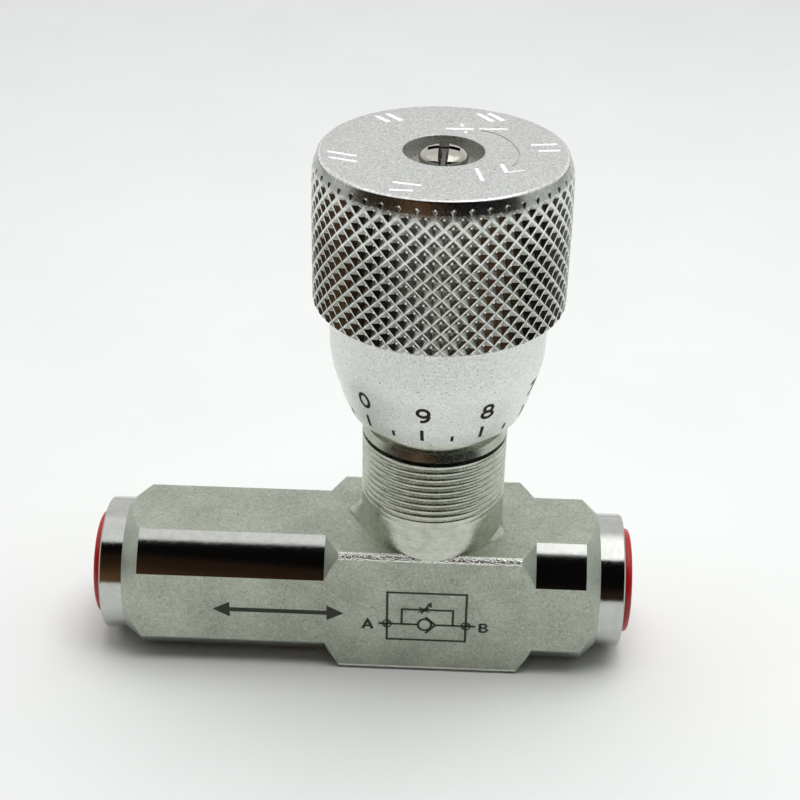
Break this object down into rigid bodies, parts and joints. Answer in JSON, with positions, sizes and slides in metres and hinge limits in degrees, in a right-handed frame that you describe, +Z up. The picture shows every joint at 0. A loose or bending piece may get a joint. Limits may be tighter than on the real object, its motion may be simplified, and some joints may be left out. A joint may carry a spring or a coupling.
{
  "type": "flow control valve",
  "caption": "In-line one-way flow control valve: square turned steel body with capped G1/4 ports and a threaded stem carrying a knurled aluminium metering knob with a numbered dial.",
  "frame": {"origin": "on the flat underside of the square body, straight below the stem's axis", "axes": "+X along the flow axis towards port B on the short arm, -X towards port A on the long arm, -Y out of the marked front flat, +Z up the stem's axis to the knob"},
  "size_m": [0.076, 0.033, 0.0757],
  "materials": {
    "zinc_plated_steel": "clear zinc plate: satin on the milled flats and cones, bright mirror-like on the turned corners and end collars",
    "knob_aluminium": "bead-blasted light silver with bright knurl ridges",
    "dial_ink": "black stamped dial numbers and graduations",
    "etched_mark": "dark grey laser-etched flow symbol",
    "nickel_screw": "nickel-plated cross recessed screw",
    "red_plastic": "soft red polyethylene",
    "hardened_steel": "ground hardened steel",
    "spring_steel": "spring wire",
    "black_rubber": "matt nitrile rubber",
    "white_ptfe": "waxy white PTFE"
  },
  "bodies": {
    "valve_housing": {"valve_body": "zinc_plated_steel", "check_seat": "hardened_steel", "spring_retainer": "hardened_steel", "retaining_ring": "spring_steel", "needle_seat": "hardened_steel", "gland_nut": "zinc_plated_steel", "gland_oring": "black_rubber", "knob_friction_ring": "black_rubber", "check_spring": "spring_steel"},
    "poppet": {"check_poppet": "hardened_steel"},
    "needle": {"throttle_needle": "hardened_steel", "needle_oring": "black_rubber", "needle_backup_ring": "white_ptfe", "anti_rotation_pin": "hardened_steel", "needle_clip": "spring_steel"},
    "knob_and_spindle": {"spindle": "hardened_steel", "knob": "knob_aluminium", "knob_screw": "nickel_screw"},
    "cap_a": {"port_cap_a": "red_plastic"},
    "cap_b": {"port_cap_b": "red_plastic"}
  },
  "joints": [
    {"name": "check_opening", "type": "slide", "parent": "valve_housing", "child": "poppet", "axis": [-1, 0, 0], "range_m": [0, 0.0024], "stiffness_N_per_m": 400, "springref_m": -0.003, "deforming": ["check_spring"]},
    {"name": "needle_lift", "type": "slide", "parent": "valve_housing", "child": "needle", "axis": [0, 0, 1], "range_m": [-0.0015, 0.0055]},
    {"name": "knob_turn", "type": "hinge", "parent": "needle", "child": "knob_and_spindle", "pos_m": [0, 0, 0.06], "axis": [0, 0, 1], "range_deg": [-540, 1980]},
    {"name": "cap_a_pull", "type": "slide", "parent": "valve_housing", "child": "cap_a", "axis": [-1, 0, 0], "range_m": [0, 0.05]},
    {"name": "cap_b_pull", "type": "slide", "parent": "valve_housing", "child": "cap_b", "axis": [1, 0, 0], "range_m": [0, 0.05]}
  ],
  "couplings": [
    {"joint": "knob_turn", "follows": "needle_lift", "rad_per_m": 6283.2}
  ]
}
